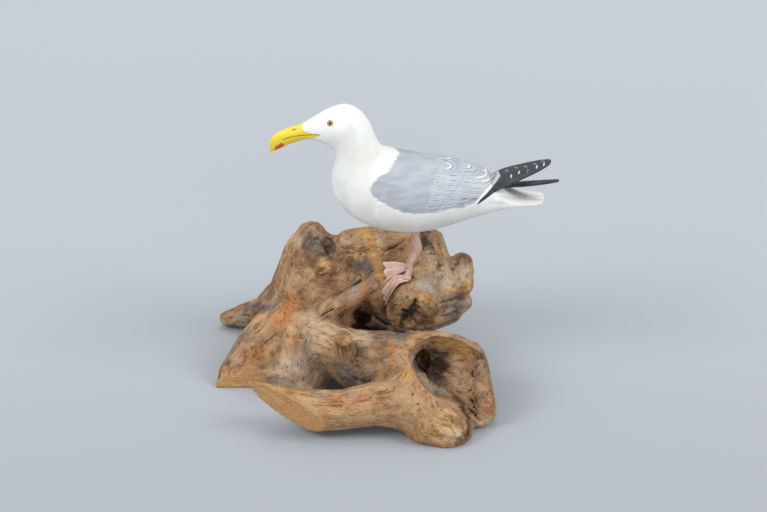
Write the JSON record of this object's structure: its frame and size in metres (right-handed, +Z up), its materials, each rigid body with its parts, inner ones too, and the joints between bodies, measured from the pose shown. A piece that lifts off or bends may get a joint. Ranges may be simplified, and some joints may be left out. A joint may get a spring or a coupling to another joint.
{
  "type": "carved gull figure on driftwood",
  "caption": "Small carved and painted gull with crossed wing tips, standing on webbed feet on a weathered driftwood base.",
  "frame": {"origin": "on the ground, under the middle of the whole object's box", "axes": "+Z up; the bill points toward -X and the tail toward +X; the log with the open mouth lies toward -Y"},
  "size_m": [0.1765, 0.1206, 0.1526],
  "materials": {
    "driftwood": "weathered, dry, tan with grey and orange-brown zones",
    "painted_carving": "hand-painted satin: white, grey back, black wing tips, yellow bill",
    "leg_paint": "flesh-pink satin paint",
    "pin_metal": "dull dark metal"
  },
  "bodies": {
    "root": {"driftwood_stand": "driftwood", "gull": "painted_carving", "left_leg": "leg_paint", "right_leg": "leg_paint", "heel_pin": "pin_metal"}
  },
  "joints": []
}
